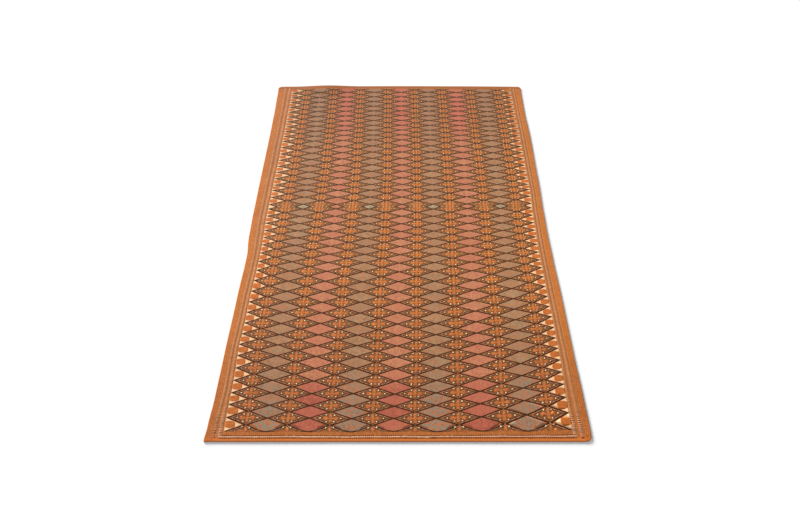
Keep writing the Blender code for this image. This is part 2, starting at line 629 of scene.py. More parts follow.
class ShaderGroups:
    """Builds each shared shader group once."""

    socket_types: dict[str, str] = {
        "Vector": "NodeSocketVector",
        "Near": "NodeSocketColor",
        "Far": "NodeSocketColor",
        "End": "NodeSocketColor",
        "Colour": "NodeSocketColor",
    }
    end_turn: Pair = (0.55, 0.95)
    patch_cloud: Pair = (21, 3)
    grain_cloud: Pair = (110, 1)
    fuzz_cloud: Pair = (420, 2)
    fuzz_spread: float = 0.22
    roughness: float = 0.86
    roughness_swing: float = -0.35
    fleck_lean: float = 0.5
    fleck_half_height: float = 0.4
    # How light each yarn is along the rug: lightest in the middle and darker towards both ends
    lightness: tuple[Pair, ...] = (
        (-1.18, 0.88),
        (-1.07, 0.92),
        (-0.99, 0.93),
        (-0.82, 0.95),
        (-0.53, 1.01),
        (-0.18, 1.05),
        (0.13, 1.04),
        (0.42, 1.01),
        (0.73, 0.93),
        (1.00, 0.86),
        (1.18, 0.84),
    )

    def __init__(self) -> None:
        """Build every group."""
        self.trees = {
            GroupKind.STITCHES: self.stitches(),
            GroupKind.FLECKS: self.flecks(),
            GroupKind.AGE: self.age(),
        }

    @classmethod
    def start(cls, kind: GroupKind, inputs: tuple[str, ...], outputs: tuple[str, ...]) -> tuple:
        """Open a new group, whose sockets are numbers unless their names stand for something else.

        Args:
            kind: Which group it is.
            inputs: The names of its inputs.
            outputs: The names of its outputs.

        Returns:
            The tree, its wiring, its input sockets by name and its output sockets by name.
        """
        tree = bpy.data.node_groups.new(kind.value, "ShaderNodeTree")
        for side, names in (("INPUT", inputs), ("OUTPUT", outputs)):
            for name in names:
                socket_type = cls.socket_types.get(name, "NodeSocketFloat")
                tree.interface.new_socket(name, in_out=side, socket_type=socket_type)
        wiring = Wiring(tree)
        given = wiring.node("NodeGroupInput")
        result = wiring.node("NodeGroupOutput")
        return tree, wiring, given.outputs, result.inputs

    def stitches(self) -> Tree:
        """Build the group that draws single stitches, each row shifted by a lean.

        Returns:
            The node tree, with a bulge and a random tone for each stitch.
        """
        tree, wiring, given, result = self.start(
            GroupKind.STITCHES, ("Vector", "Length", "Height", "Lean"), ("Bulge", "Tone")
        )
        x, y = wiring.split(given["Vector"])
        row, above = wiring.cell(wiring.math("DIVIDE", y, given["Height"]))
        side = wiring.add(wiring.math("DIVIDE", x, given["Length"]), wiring.times(row, given["Lean"]))
        stitch, beside = wiring.cell(side)
        crests = (wiring.math("SINE", wiring.times(part, math.pi)) for part in (beside, above))
        wiring.feed(result["Bulge"], wiring.math("SQRT", wiring.times(*crests)))
        wiring.feed(result["Tone"], wiring.chance((stitch, row))["Value"])
        return tree

    def flecks(self) -> Tree:
        """Build the group that scatters flecks of a second yarn along twill lines.

        Returns:
            The node tree, with a mask of the flecks and a random pick for each.
        """
        tree, wiring, given, result = self.start(
            GroupKind.FLECKS, ("Vector", "Spacing", "Rise", "Fill", "Chance"), ("Mask", "Pick")
        )
        x, y = wiring.split(given["Vector"])
        row, above = wiring.cell(wiring.math("DIVIDE", y, given["Rise"]))
        side = wiring.add(wiring.math("DIVIDE", x, given["Spacing"]), wiring.times(row, self.fleck_lean))
        column, beside = wiring.cell(side)
        chance = wiring.chance((column, row))
        mask = wiring.math("LESS_THAN", chance["Value"], given["Chance"])
        reaches = ((beside, wiring.times(given["Fill"], 0.5)), (above, self.fleck_half_height))
        for part, reach in reaches:
            off = wiring.math("ABSOLUTE", wiring.minus(part, 0.5))
            mask = wiring.times(mask, wiring.math("LESS_THAN", off, reach))
        wiring.feed(result["Mask"], mask)
        colours = wiring.node("ShaderNodeSeparateColor")
        wiring.feed(colours.inputs[0], chance["Color"])
        wiring.feed(result["Pick"], colours.outputs[1])
        return tree

    def age(self) -> Tree:
        """Build the group that shifts a yarn's colour and lightness along the rug and lets its tone drift.

        Returns:
            The node tree, with the yarn's colour and its roughness.
        """
        spreads = ("Tone Spread", "Patch Spread", "Grain Spread")
        inputs = ("Vector", "Near", "Far", "End", "Turn Start", "Turn End", "Tone", *spreads)
        tree, wiring, given, result = self.start(GroupKind.AGE, inputs, ("Colour", "Roughness"))
        place = given["Vector"]
        along = wiring.split(place)[1]
        share = wiring.ramp(along, given["Turn Start"], given["Turn End"])
        colour = wiring.mix(share, given["Near"], given["Far"])
        colour = wiring.mix(wiring.ramp(along, *self.end_turn), colour, given["End"])
        total = wiring.times(wiring.minus(given["Tone"], 0.5), given["Tone Spread"])
        total = wiring.add(total, wiring.cloud(place, *self.patch_cloud, given["Patch Spread"]))
        total = wiring.add(total, wiring.cloud(place, *self.grain_cloud, given["Grain Spread"]))
        total = wiring.add(total, wiring.cloud(place, *self.fuzz_cloud, self.fuzz_spread))
        light = wiring.times(wiring.add(total, 1.0), wiring.curve(along, self.lightness))
        wiring.feed(result["Colour"], wiring.scaled(colour, light))
        smoother = wiring.times(total, self.roughness_swing)
        wiring.feed(result["Roughness"], wiring.math("ADD", smoother, self.roughness, clamp=True))
        return tree


WEAVE_MAP = "weave"
BAKE_MAP = "OFBake"

# Where the ground's bands of other colours lie, and how they fade
BESIDE_END = 36 * MM
BESIDE_FADE = 32 * MM
BESIDE_ROWS = 6
BESIDE_STRENGTH = (0.15, 0.9)
# Painted light: the near end's outermost strip is made lighter, against the shade on its rounded rim
PAINTED_LIGHT_START = 26 * MM
PAINTED_LIGHT_FULL = 31 * MM
FAR_FADE = 12 * MM
FAR_STRENGTH = 0.8

# Gives the flecks other random numbers than the dyes
FLECK_SHIFT = 100


@dataclass(frozen=True)
class Flecks:
    """Flecks of another yarn: two colours, how far apart, how wide and how many."""

    warm: Dye
    cool: Dye
    spacing: float = 9 * MM
    rise: float = 4.5 * MM
    fill: float = 0.5
    chance: float = 0.8
    warm_share: float = 0.6
    near_strength: float = 0.9
    far_strength: float = 0.6
    fading: Pair = (0.8 * ROW, 1.6 * ROW)
    uneven: float = 0.0


@dataclass(frozen=True)
class Wool:
    """A dyed wool yarn: its stitch, and its colour near, farther on and at the far end."""

    name: str
    near: Dye
    far: Dye
    stitch: Pair = (3 * MM, 1.4 * MM)
    lean: float = 0.5
    relief: float = 0.35 * MM
    hollow_shade: float = 0.78
    bulge_shade: float = 0.3
    fuzz_cloud: Pair = (900, 1)
    fuzz_height: float = 0.3
    tone_spread: float = 0.22
    patch_spread: float = 0.3
    grain_spread: float = 0.3
    sheen: float = 0.02
    turn: Pair = (-1.15, 0.5)
    end: Optional[Dye] = None
    flecks: Optional[Flecks] = None
    other: Optional[Dye] = None
    other_share: float = 0.65
    bands: Optional[tuple[Dye, ...]] = None

    @staticmethod
    def group(wiring: Wiring, tree: Tree, **values: object) -> Outputs:
        """Place a shared group in the material.

        Args:
            wiring: The material's wiring.
            tree: The group's tree.
            **values: Sockets or numbers for its inputs, with underscores for spaces.

        Returns:
            The group's outputs.
        """
        node = wiring.node("ShaderNodeGroup", node_tree=tree)
        for name, value in values.items():
            wiring.feed(node.inputs[name.replace("_", " ")], value)
        return node.outputs

    def material(self, groups: ShaderGroups) -> bpy.types.Material:
        """Make the yarn's material.

        Args:
            groups: The shared shader groups.

        Returns:
            The material.
        """
        material = bpy.data.materials.new(self.name)
        material.use_nodes = True
        wiring = Wiring(material.node_tree)
        shader = material.node_tree.nodes["Principled BSDF"]
        weave = wiring.node("ShaderNodeUVMap", uv_map=WEAVE_MAP).outputs[0]
        place = wiring.node("ShaderNodeTexCoord").outputs["Object"]
        stitch = self.group(
            wiring,
            groups.trees[GroupKind.STITCHES],
            Vector=weave,
            Length=self.stitch[0],
            Height=self.stitch[1],
            Lean=self.lean,
        )
        age = self.group(
            wiring,
            groups.trees[GroupKind.AGE],
            Vector=place,
            Near=linear(*self.near),
            Far=linear(*self.far),
            Tone=stitch["Tone"],
            Tone_Spread=self.tone_spread,
            Patch_Spread=self.patch_spread,
            Grain_Spread=self.grain_spread,
            Turn_Start=self.turn[0],
            Turn_End=self.turn[1],
            End=linear(*(self.end or self.far)),
        )
        colour = age["Colour"]
        if self.other:
            share = wiring.times(self.cell_chance(wiring, weave, 0), self.other_share)
            colour = wiring.mix(share, colour, linear(*self.other))
        if self.flecks:
            colour = self.flecked(wiring, groups, weave, colour)
        if self.bands:
            colour = self.banded(wiring, weave, colour)
        bulge = stitch["Bulge"]
        shade = wiring.add(wiring.times(bulge, self.bulge_shade), self.hollow_shade)
        fuzz = wiring.times(wiring.noise(place, *self.fuzz_cloud), self.fuzz_height)
        bump = wiring.node("ShaderNodeBump")
        bump.inputs["Strength"].default_value = 0.5
        bump.inputs["Distance"].default_value = self.relief
        wiring.feed(bump.inputs["Height"], wiring.add(bulge, fuzz))
        wiring.feed(shader.inputs["Base Color"], wiring.scaled(colour, shade))
        wiring.feed(shader.inputs["Roughness"], age["Roughness"])
        wiring.feed(shader.inputs["Normal"], bump.outputs[0])
        shader.inputs["Metallic"].default_value = 0.0
        shader.inputs["Specular IOR Level"].default_value = 0.1
        shader.inputs["Sheen Weight"].default_value = self.sheen
        shader.inputs["Sheen Roughness"].default_value = 0.6
        return material

    def flecked(self, wiring: Wiring, groups: ShaderGroups, weave: object, colour: object) -> Socket:
        """Scatter the flecks over the yarn's colour.

        Args:
            wiring: The material's wiring.
            groups: The shared shader groups.
            weave: The weave map's socket.
            colour: The yarn's colour.

        Returns:
            The colour with its flecks.
        """
        flecks = self.flecks
        outputs = self.group(
            wiring,
            groups.trees[GroupKind.FLECKS],
            Vector=weave,
            Spacing=flecks.spacing,
            Rise=flecks.rise,
            Fill=flecks.fill,
            Chance=flecks.chance,
        )
        warm = wiring.math("LESS_THAN", outputs["Pick"], flecks.warm_share)
        yarn = wiring.mix(warm, linear(*flecks.cool), linear(*flecks.warm))
        along = wiring.split(weave)[1]
        strength = wiring.ramp(along, *flecks.fading, flecks.near_strength, flecks.far_strength)
        if flecks.uneven:
            swing = wiring.minus(self.cell_chance(wiring, weave, FLECK_SHIFT), 0.5)
            swing = wiring.add(wiring.times(swing, 2 * flecks.uneven), 1.0)
            strength = wiring.times(strength, swing)
        return wiring.mix(wiring.times(outputs["Mask"], strength), colour, yarn)

    @staticmethod
    def cell_chance(wiring: Wiring, weave: object, shift: float) -> Socket:
        """Pick a random number for each diamond of the lattice.

        Args:
            wiring: The material's wiring.
            weave: The weave map's socket.
            shift: A whole number that gives another set of numbers.

        Returns:
            The number's socket, from 0 to 1.
        """
        scaled = wiring.node("ShaderNodeVectorMath", operation="MULTIPLY_ADD")
        wiring.feed(scaled.inputs[0], weave)
        wiring.feed(scaled.inputs[1], (0.5 / COLUMN, 1 / ROW, 0))
        wiring.feed(scaled.inputs[2], (0.5, shift, 0))
        cell = wiring.node("ShaderNodeVectorMath", operation="FLOOR")
        wiring.feed(cell.inputs[0], scaled.outputs[0])
        return wiring.chance(cell.outputs[0])["Value"]

    def banded(self, wiring: Wiring, weave: object, colour: object) -> Socket:
        """Colour the bands at both ends and beside the lattice; the near end's strip is painted light.

        Args:
            wiring: The material's wiring.
            weave: The weave map's socket.
            colour: The yarn's colour.

        Returns:
            The colour with its bands.
        """
        x, y = wiring.split(weave)
        edge = LATTICE_COLUMNS * COLUMN
        across = wiring.math("ABSOLUTE", x)
        beside = wiring.ramp(across, edge + BESIDE_END, edge + BESIDE_FADE)
        beside = wiring.times(beside, wiring.ramp(across, edge - 2 * MM, edge))
        beside = wiring.times(beside, wiring.ramp(y, 0, BESIDE_ROWS * ROW, *BESIDE_STRENGTH))
        # Painted light: the outermost strip of the near end is lighter, against the shade on its rounded
        # rim
        near = wiring.ramp(y, -PAINTED_LIGHT_START, -PAINTED_LIGHT_FULL)
        far = wiring.times(wiring.ramp(y, LATTICE_END, LATTICE_END + FAR_FADE), FAR_STRENGTH)
        shares = (near, far, beside)
        for share, band in reversed(tuple(zip(shares, self.bands))):
            colour = wiring.mix(share, colour, linear(*band))
        return colour


DASH_STITCH = (3.0 * MM, 2.4 * MM)

ORANGE_GROUND = Wool(
    name="orange_ground_wool",
    near=(178, 100, 42),
    far=(191, 110, 43),
    end=(202, 116, 42),
    turn=(-1.15, -0.6),
    stitch=(4.0 * MM, 1.5 * MM),
    lean=0.36,
    flecks=Flecks(
        warm=(206, 120, 54),
        cool=(146, 86, 28),
        spacing=8 * MM,
        rise=5 * MM,
        warm_share=0.6,
        near_strength=0.5,
        far_strength=0.3,
    ),
    # Bands: painted light on the near end's rim, then the darker far band and the paler border beside the
    # lattice
    bands=((212, 117, 48), (150, 84, 34), (186, 113, 55)),
)
TAUPE = Wool(
    name="taupe_wool",
    near=(144, 111, 88),
    far=(169, 122, 82),
    end=(165, 119, 84),
    turn=(-1.15, -0.7),
    other=(166, 112, 76),
    tone_spread=0.35,
    patch_spread=0.5,
    grain_spread=0.9,
    flecks=Flecks(
        warm=(202, 110, 66),
        cool=(118, 142, 126),
        spacing=9.5 * MM,
        rise=6.5 * MM,
        fill=0.5,
        chance=0.9,
        warm_share=0.5,
        near_strength=0.76,
        far_strength=0.36,
        fading=(0.7 * ROW, 5 * ROW),
        uneven=0.25,
    ),
)
SALMON = Wool(
    name="salmon_wool",
    near=(172, 84, 64),
    far=(186, 122, 86),
    end=(194, 98, 78),
    turn=(-0.98, -0.88),
    other=(186, 106, 78),
    tone_spread=0.35,
    patch_spread=0.5,
    grain_spread=0.8,
    flecks=Flecks(
        warm=(196, 136, 84),
        cool=(198, 96, 78),
        spacing=9 * MM,
        rise=4.6 * MM,
        fill=0.6,
        warm_share=0.5,
        near_strength=0.25,
        far_strength=0.7,
        fading=(2.5 * ROW, 5 * ROW),
    ),
)
GREEN = Wool(
    name="grey_green_wool",
    near=(164, 148, 116),
    far=(164, 148, 116),
    grain_spread=0.8,
    flecks=Flecks(
        warm=(186, 122, 86),
        cool=(112, 144, 112),
        spacing=9 * MM,
        rise=8 * MM,
        near_strength=0.5,
        far_strength=0.5,
    ),
)
DARK = Wool(
    name="dark_brown_wool", near=(68, 31, 6), far=(54, 25, 4), stitch=(3.4 * MM, 2.0 * MM), sheen=0.0
)
UMBER = Wool(
    name="umber_wool", near=(78, 42, 16), far=(96, 56, 24), stitch=(3.4 * MM, 2.0 * MM), sheen=0.0
)
FIELD = Wool(
    name="umber_field_wool",
    near=(126, 74, 34),
    far=(140, 86, 36),
    end=(134, 80, 32),
    turn=(-0.95, -0.3),
    tone_spread=0.5,
    flecks=Flecks(
        warm=(172, 106, 62),
        cool=(100, 80, 34),
        spacing=5 * MM,
        rise=4.4 * MM,
        near_strength=0.45,
        far_strength=0.55,
    ),
)
TAN = Wool(name="tan_stitch_wool", near=(190, 126, 86), far=(184, 122, 76), stitch=(3 * MM, 1.8 * MM))
CROSS = Wool(
    name="orange_cross_wool",
    near=(190, 102, 42),
    far=(204, 112, 42),
    stitch=(2.8 * MM, 1.8 * MM),
    turn=(-0.95, -0.3),
    tone_spread=0.5,
    grain_spread=0.7,
    flecks=Flecks(
        warm=(206, 132, 84),
        cool=(140, 84, 36),
        spacing=6 * MM,
        rise=4.6 * MM,
        near_strength=0.6,
        far_strength=0.55,
    ),
)
CREAM = Wool(
    name="cream_wool",
    near=(246, 220, 182),
    far=(250, 212, 164),
    stitch=(2.4 * MM, 1.6 * MM),
    turn=(-1.1, -0.2),
)
IVORY = Wool(
    name="ivory_wool", near=(243, 198, 152), far=(240, 194, 145), stitch=(3.0 * MM, 1.6 * MM)
)
LEAF = Wool(
    name="orange_leaf_wool",
    near=(190, 103, 38),
    far=(198, 106, 42),
    stitch=(3.2 * MM, 1.8 * MM),
    tone_spread=0.35,
    grain_spread=0.6,
)
PALE_DASH = Wool(
    name="pale_dash_wool",
    near=(216, 158, 116),
    far=(186, 127, 82),
    end=(197, 130, 80),
    stitch=DASH_STITCH,
    turn=(-1.17, -1.02),
)
UMBER_DASH = Wool(
    name="umber_dash_wool",
    near=(96, 54, 28),
    far=(176, 108, 60),
    end=(196, 116, 60),
    stitch=DASH_STITCH,
    turn=(-1.17, -1.02),
)
PINK = Wool(
    name="pink_wool",
    near=(168, 100, 60),
    far=(182, 114, 66),
    end=(192, 117, 66),
    stitch=DASH_STITCH,
    turn=(-1.15, -0.7),
)
TWINE = Wool(name="white_twine_wool", near=(244, 202, 168), far=(244, 202, 168), stitch=DASH_STITCH)
ROSE = Wool(name="rose_twine_wool", near=(208, 122, 94), far=(208, 122, 94), stitch=DASH_STITCH)


@dataclass(frozen=True)
class Relief:
    """How a raised shape stands in the cloth.

    Heights are above the floor. Lean is the share by which the face is smaller than the foot,
    and crown the share of its height that the face loses at its rim.
    """

    foot: float
    top: float
    lean: float = 0.08
    crown: float = 0.3


class MotifShop:
    """Makes the small closed shapes that the brocade repeats."""

    @staticmethod
    def keep(bm: bmesh.types.BMesh, name: str) -> Mesh:
        """Turn a finished shape into a mesh with its faces outwards.

        Args:
            bm: The shape, which is freed.
            name: A name for the mesh.

        Returns:
            The mesh.
        """
        bmesh.ops.recalc_face_normals(bm, faces=bm.faces)
        mesh = bpy.data.meshes.new(name)
        bm.to_mesh(mesh)
        bm.free()
        return mesh

    @staticmethod
    def raised(bm: bmesh.types.BMesh) -> list[bmesh.types.BMVert]:
        """Extrude a flat shape upwards by one unit.

        Args:
            bm: The flat shape.

        Returns:
            The vertices of its new face.
        """
        made = bmesh.ops.extrude_face_region(bm, geom=list(bm.faces))["geom"]
        verts = [item for item in made if isinstance(item, bmesh.types.BMVert)]
        bmesh.ops.translate(bm, verts=verts, vec=Vector((0, 0, 1)))
        return verts

    def slab(
        self,
        name: str,
        cells: tuple[int, int],
        relief: Relief,
        place: Callable[[float, float], Pair],
        corded: bool = False,
    ) -> Mesh:
        """Make a closed slab of stitches from a grid.

        Args:
            name: A name for the mesh.
            cells: How many cells it has each way.
            relief: How it stands in the cloth.
            place: Takes a point of the square from -1 to 1 each way to the design.
            corded: Whether it is crowned across only, as a cord is.

        Returns:
            The mesh.
        """
        bm = bmesh.new()
        bmesh.ops.create_grid(bm, x_segments=cells[0], y_segments=cells[1], size=1.0)
        self.raised(bm)
        for vert in bm.verts:
            a, b, level = vert.co
            rim = abs(b) if corded else max(abs(a), abs(b))
            drop = relief.crown * rim ** (2 if corded else 4) * level
            shrink = 1 - relief.lean * level
            x, y = place(a if corded else a * shrink, b * shrink)
            vert.co = (x, y, relief.foot + (relief.top - relief.foot) * (level - drop))
        return self.keep(bm, name)

    def diamond(self, name: str, half: Pair, cells: int, relief: Relief) -> Mesh:
        """Make a slab in the shape of a diamond, from half its width and half its height."""
        return self.slab(
            name, (cells, cells), relief, lambda a, b: (half[0] * (a - b) / 2, half[1] * (a + b) / 2)
        )

    def block(self, name: str, half: Pair, cells: tuple[int, int], relief: Relief) -> Mesh:
        """Make a slab in the shape of an upright block, from half its width and half its height."""
        return self.slab(name, cells, relief, lambda a, b: (half[0] * a, half[1] * b))

    def strip(
        self,
        name: str,
        ends: tuple[Pair, Pair],
        half_height: float,
        cells: int,
        relief: Relief,
    ) -> Mesh:
        """Make a crowned strip between two points, whose ends are cut upright.

        Args:
            name: A name for the mesh.
            ends: The two points.
            half_height: Half its height along the rug.
            cells: How many cells it has along its length.
            relief: How it stands in the cloth.

        Returns:
            The mesh.
        """
        (x0, y0), (x1, y1) = ends

        def place(a: float, b: float) -> Pair:
            """Place a point of the strip."""
            share = (a + 1) / 2
            return x0 + (x1 - x0) * share, y0 + (y1 - y0) * share + half_height * b

        return self.slab(name, (cells, 2), relief, place, corded=True)

    def dome(self, name: str, half: Pair, sides: int, relief: Relief) -> Mesh:
        """Make a low round stitch.

        Args:
            name: A name for the mesh.
            half: Half its width and half its height.
            sides: How many sides it has.
            relief: How it stands in the cloth.

        Returns:
            The mesh.
        """
        bm = bmesh.new()
        bmesh.ops.create_circle(bm, cap_ends=True, segments=sides, radius=1.0)
        self.raised(bm)
        for vert in bm.verts:
            x, y, level = vert.co
            shrink = 1 - relief.lean * level
            height = relief.foot + (relief.top - relief.foot) * level
            vert.co = (x * half[0] * shrink, y * half[1] * shrink, height)
        return self.keep(bm, name)


@dataclass
class Brocade:
    """Gathers repeated shapes on the even design and lays them on the rug as one piece."""

    name: str
    finish: Wool
    plan: WeavePlan
    groups: ShaderGroups
    seed: int = 1
    first_line: float = 0.6 * MM
    sharp_degrees: float = 50
    map_margin: float = 0.005
    under_strip: float = 0.05
    under_normal: float = -0.05

    def __post_init__(self) -> None:
        """Start the piece's random numbers and its empty shape."""
        self.chance = random.Random(self.seed)
        self.bm = bmesh.new()

    def stamp(
        self,
        motif: Mesh,
        x: float,
        y: float,
        scale: Pair = (1, 1),
        stray: float = 0.0,
        grow: float = 0.0,
        lower: float = 0.0,
    ) -> None:
        """Add one copy of a shape.

        Args:
            motif: The shape's mesh.
            x: Where it goes across the design.
            y: Where it goes along the design.
            scale: How much wider and taller it is, negative to mirror it.
            stray: How far the weaver's hand may put it off its place.
            grow: The share by which its size may differ.
            lower: How far it sinks.
        """
        size = 1 + self.chance.uniform(-grow, grow)
        off_x, off_y = (self.chance.uniform(-stray, stray) for _ in range(2))
        copy = motif.copy()
        moved = Matrix.Translation((x + off_x, y + off_y, -lower))
        copy.transform(moved @ Matrix.Diagonal((scale[0] * size, scale[1] * size, 1, 1)))
        self.bm.from_mesh(copy)
        bpy.data.meshes.remove(copy)

    def cut(self, point: Pair, away: Pair) -> None:
        """Cut off what lies beyond an upright plane and close the cut.

        Args:
            point: A point of the plane.
            away: The direction in which everything is removed.
        """
        made = bmesh.ops.bisect_plane(
            self.bm,
            geom=[*self.bm.faces, *self.bm.edges, *self.bm.verts],
            plane_co=Vector((*point, 0)),
            plane_no=Vector((*away, 0)),
            clear_outer=True,
        )
        edges = [item for item in made["geom_cut"] if isinstance(item, bmesh.types.BMEdge)]
        bmesh.ops.holes_fill(self.bm, edges=edges, sides=0)

    def cut_ends(self) -> None:
        """Cut the piece where the lattice starts and ends."""
        self.cut((0, self.first_line), (0, -1))
        self.cut((0, LATTICE_END), (0, 1))

    def lay(self) -> Piece:
        """Lay the piece on the rug.

        Returns:
            The finished piece, riding on the rug's body.
        """
        mesh = MotifShop.keep(self.bm, self.name)
        flat = np.empty(len(mesh.vertices) * 3)
        mesh.vertices.foreach_get("co", flat)
        flat = flat.reshape(-1, 3)
        placed = self.plan.lay(flat)
        mesh.vertices.foreach_set("co", placed.ravel())
        mesh.update()
        self.add_maps(mesh, flat, placed)
        mesh.shade_smooth()
        mesh.set_sharp_from_angle(angle=math.radians(self.sharp_degrees))
        mesh.materials.append(self.finish.material(self.groups))
        piece = bpy.data.objects.new(self.name, mesh)
        bpy.context.scene.collection.objects.link(piece)
        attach(piece, "root")
        LOG.info("%s: %d faces", self.name, len(mesh.polygons))
        return piece

    @staticmethod
    def add_map(mesh: Mesh, name: str, places: np.ndarray) -> None:
        """Give the mesh a map, from one row of two numbers for each corner of its faces."""
        layer = mesh.uv_layers.new(name=name)
        layer.uv.foreach_set("vector", places.astype(np.float32).ravel())

    def add_maps(self, mesh: Mesh, flat: np.ndarray, placed: np.ndarray) -> None:
        """Map the mesh by its weave, in metres of the even design, and for its baked picture.

        The baked picture keeps a strip for the undersides, apart from the faces above.

        Args:
            mesh: The mesh.
            flat: Its vertices on the even design.
            placed: Its vertices on the floor.
        """
        corner = np.empty(len(mesh.loops), dtype=np.int32)
        mesh.loops.foreach_get("vertex_index", corner)
        self.add_map(mesh, WEAVE_MAP, flat[corner, :2])
        normals = np.empty(len(mesh.polygons) * 3)
        mesh.polygons.foreach_get("normal", normals)
        sizes = np.empty(len(mesh.polygons), dtype=np.int32)
        mesh.polygons.foreach_get("loop_total", sizes)
        under = np.repeat(normals.reshape(-1, 3)[:, 2] < self.under_normal, sizes)
        low = placed[:, :2].min(axis=0)
        x, y = ((placed[:, :2] - low) / (placed[:, :2].max(axis=0) - low))[corner].T
        margin, strip = self.map_margin, self.under_strip
        above = strip + 2 * margin + (1 - strip - 3 * margin) * y
        v = np.where(under, margin + (strip - margin) * y, above)
        self.add_map(mesh, BAKE_MAP, np.column_stack((margin + (1 - 2 * margin) * x, v)))


@dataclass
class Makings:
    """What every sub-assembly works with."""

    plan: WeavePlan
    groups: ShaderGroups
    shop: MotifShop

    def piece(self, name: str, finish: Wool, seed: int = 1) -> Brocade:
        """Start a piece of brocade."""
        return Brocade(name, finish, self.plan, self.groups, seed)


@dataclass
class SubAssembly:
    """A part of the rug that is made with the shared makings."""

    makings: Makings

    @property
    def shop(self) -> MotifShop:
        """The shop that makes its shapes."""
        return self.makings.shop


@dataclass
class GroundCloth(SubAssembly):
    """The flat-woven cloth that carries the brocade, with its corded selvedges."""

    top: float = 3.4 * MM
    middle: float = 1.7 * MM
    wall: float = 0.25 * MM
    rim: float = 2.0 * MM
    cord_pitch: float = 6.0 * MM
    cord_count: int = 4
    cord_rise: float = 0.4 * MM
    rim_lines: tuple[float, ...] = (0.0, 0.4 * MM, 1.1 * MM, 2.0 * MM)
    fine_reach: float = 3 * MM
    fine_cell: float = 1.0 * MM
    cord_cell: float = 1.5 * MM
    cell: float = 12 * MM

    def lines(self, low: float, high: float, corded: bool) -> np.ndarray:
        """Choose where the cloth's grid has its lines.

        Args:
            low: The lowest line.
            high: The highest line.
            corded: Whether the sides between them have cords.

        Returns:
            The places of the lines, closer together near the rims and in the cords.
        """
        reach = self.cord_pitch * self.cord_count if corded else self.rim_lines[-1]
        edge = list(self.rim_lines)
        while edge[-1] < reach - 1e-6:
            step = self.fine_cell if edge[-1] < self.fine_reach else self.cord_cell
            edge.append(round(min(edge[-1] + step, reach), 6))
        count = round((high - low - 2 * reach) / self.cell)
        inner = np.linspace(low + reach, high - reach, count + 1)[1:-1]
        return np.array([*(low + e for e in edge), *inner, *(high - e for e in reversed(edge))])

    def height(self, x: float, y: float, level: float) -> float:
        """Find how high a point of the cloth stands.

        Args:
            x: Its place across the design.
            y: Its place along the design.
            level: 0 on the underside and 1 on the face.

        Returns:
            The height above the floor where the cloth lies flat.
        """
        from_side = HALF_WIDTH - abs(x)
        from_edge = min(from_side, y - NEAR_Y, FAR_Y - y)
        share = held(from_edge / self.rim)
        round_up = math.sqrt(1 - (1 - share) ** 2)
        if level < 0.5:
            return (self.middle - self.wall) * (1 - round_up)
        rise = 0.0
        if from_side < self.cord_pitch * self.cord_count:
            rise = self.cord_rise * abs(math.sin(math.pi * from_side / self.cord_pitch)) * share
        low = self.middle + self.wall
        return low + (self.top - low) * round_up + rise

    def build(self) -> Piece:
        """Weave the cloth.

        Returns:
            The finished piece.
        """
        piece = self.makings.piece("ground_cloth", ORANGE_GROUND)
        across = self.lines(-HALF_WIDTH, HALF_WIDTH, corded=True)
        along = self.lines(NEAR_Y, FAR_Y, corded=False)
        bmesh.ops.create_grid(piece.bm, x_segments=len(across) - 1, y_segments=len(along) - 1, size=1.0)
        MotifShop.raised(piece.bm)
        for vert in piece.bm.verts:
            a, b, level = vert.co
            x = across[round((a + 1) / 2 * (len(across) - 1))]
            y = along[round((b + 1) / 2 * (len(along) - 1))]
            vert.co = (x, y, self.height(x, y, level))
        return piece.lay()


class PlainColour(Enum):
    """The colours of the plain diamonds."""

    TAUPE = "taupe_diamonds"
    SALMON = "salmon_diamonds"
    GREEN = "green_diamonds"


@dataclass
class PlainDiamonds(SubAssembly):
    """The columns of plain diamonds, turn by turn taupe and salmon, and a few green ones."""

    half_width: float = 60.0 * MM
    half_height: float = 27.6 * MM
    neck: Pair = (3.4 * MM, 5.0 * MM)
    relief: Relief = Relief(foot=3.1 * MM, top=3.65 * MM, lean=0.015, crown=0.06)
    neck_relief: Relief = Relief(foot=3.1 * MM, top=3.58 * MM)
    short_scale: Pair = (0.45, 0.86)
    columns: dict = field(
        default_factory=lambda: {PlainColour.TAUPE: (-6, -2, 2, 6), PlainColour.SALMON: (-4, 0, 4)}
    )

    def diamond(self) -> Mesh:
        """Make the shape of one plain diamond."""
        half = (self.half_width, self.half_height)
        return self.shop.diamond("plain_diamond", half, 8, self.relief)

    def column_pieces(self, colour: PlainColour, finish: Wool) -> Piece:
        """Make the columns of diamonds of one colour.

        Args:
            colour: Which colour.
            finish: Its yarn.

        Returns:
            The finished piece.
        """
        piece = self.makings.piece(colour.value, finish, seed=11)
        diamond = self.diamond()
        neck = self.shop.block("plain_neck", self.neck, (1, 2), self.neck_relief)
        for x in (column * COLUMN for column in self.columns[colour]):
            for row in range(ROWS):
                piece.stamp(neck, x, (row + 1) * ROW, stray=0.4 * MM, grow=0.2)
                short = row == SHORT_ROW
                if short and colour is PlainColour.TAUPE:
                    continue
                scale = self.short_scale if short else (1, 1)
                piece.stamp(diamond, x, (row + 0.5) * ROW, scale, stray=0.5 * MM, grow=0.012)
        piece.cut_ends()
        return piece.lay()

    def green(self) -> Piece:
        """Make the narrow green diamonds of the short row.

        Returns:
            The finished piece.
        """
        piece = self.makings.piece(PlainColour.GREEN.value, GREEN, seed=12)
        diamond = self.diamond()
        for column in self.columns[PlainColour.TAUPE]:
            piece.stamp(diamond, column * COLUMN, (SHORT_ROW + 0.5) * ROW, self.short_scale, stray=0.5 * MM)
        return piece.lay()

    def build(self) -> list[Piece]:
        """Make the plain diamonds of every colour."""
        yarns = ((PlainColour.TAUPE, TAUPE), (PlainColour.SALMON, SALMON))
        return [*(self.column_pieces(*yarn) for yarn in yarns), self.green()]


